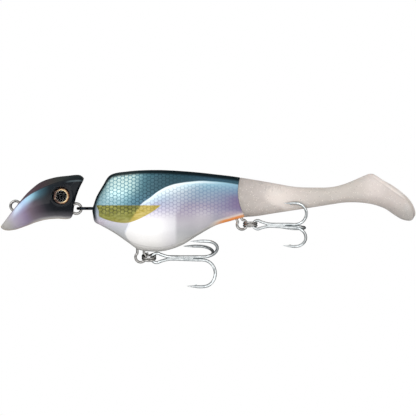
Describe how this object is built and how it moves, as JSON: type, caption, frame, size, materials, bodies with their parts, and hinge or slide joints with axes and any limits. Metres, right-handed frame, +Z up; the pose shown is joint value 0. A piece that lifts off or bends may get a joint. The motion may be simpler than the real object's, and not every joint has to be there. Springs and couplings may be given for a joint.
{
  "type": "swimbait fishing lure",
  "caption": "Jointed swimbait: hinged wedge diving head, hard deep-bellied body, soft paddle tail and treble hooks on split rings.",
  "frame": {"origin": "centre of the line tie loop on the diving head", "axes": "+X from the head to the tail, +Z up through the back, +Y to the fish's right side"},
  "size_m": [0.2195, 0.0334, 0.0629],
  "materials": {
    "head_paint": "pearl paint under clear coat, blue-black over lavender",
    "body_paint": "metallic scale foil and pearl paint under clear coat",
    "stainless_wire": "polished",
    "black_wire": "satin paint",
    "hook_metal": "bright tin plate",
    "eye_foil": "printed metallic foil",
    "clear_resin": "clear dome",
    "soft_plastic": "milky translucent with fine glitter",
    "lead": "dull",
    "peg_plastic": "satin"
  },
  "bodies": {
    "lure_body": {"body_shell_left": "body_paint", "body_shell_right": "body_paint", "nose_eye": "black_wire", "belly_hanger": "stainless_wire", "rear_hanger": "stainless_wire", "belly_ballast": "lead", "nose_ballast": "lead", "tail_peg": "peg_plastic", "tail_root": "soft_plastic"},
    "head": {"head_shell_left": "head_paint", "head_shell_right": "head_paint", "head_wire": "stainless_wire", "eye_disc_left": "eye_foil", "eye_disc_right": "eye_foil", "eye_lens_left": "clear_resin", "eye_lens_right": "clear_resin"},
    "tail": {"tail_paddle": "soft_plastic"},
    "front_ring": {"front_split_ring": "stainless_wire"},
    "front_treble": {"front_double_hook": "hook_metal", "front_single_hook": "hook_metal"},
    "rear_ring": {"rear_split_ring": "stainless_wire"},
    "rear_treble": {"rear_double_hook": "hook_metal", "rear_single_hook": "hook_metal"}
  },
  "joints": [
    {"name": "head_swing", "type": "hinge", "parent": "lure_body", "child": "head", "pos_m": [0.03487, 0, -0.00138], "axis": [0, 0, 1], "range_deg": [-50, 50]},
    {"name": "tail_bend", "type": "hinge", "parent": "lure_body", "child": "tail", "pos_m": [0.167, 0, 0.0053], "axis": [0, 0, 1], "range_deg": [-38, 38], "stiffness_Nm_per_rad": 0.02},
    {"name": "front_ring_swing", "type": "hinge", "parent": "lure_body", "child": "front_ring", "pos_m": [0.0663, 0, -0.0271], "axis": [0, 1, 0], "range_deg": [0, 140]},
    {"name": "front_hook_swing", "type": "hinge", "parent": "front_ring", "child": "front_treble", "pos_m": [0.0707, 0, -0.0271], "axis": [0, -0.4035, 0.915], "range_deg": [-30, 0]},
    {"name": "rear_ring_swing", "type": "hinge", "parent": "lure_body", "child": "rear_ring", "pos_m": [0.11998, 0, -0.0098], "axis": [0, 1, 0], "range_deg": [0, 105]},
    {"name": "rear_hook_swing", "type": "hinge", "parent": "rear_ring", "child": "rear_treble", "pos_m": [0.12438, 0, -0.0098], "axis": [0, 0.1115, 0.9938], "range_deg": [-30, 0]}
  ]
}
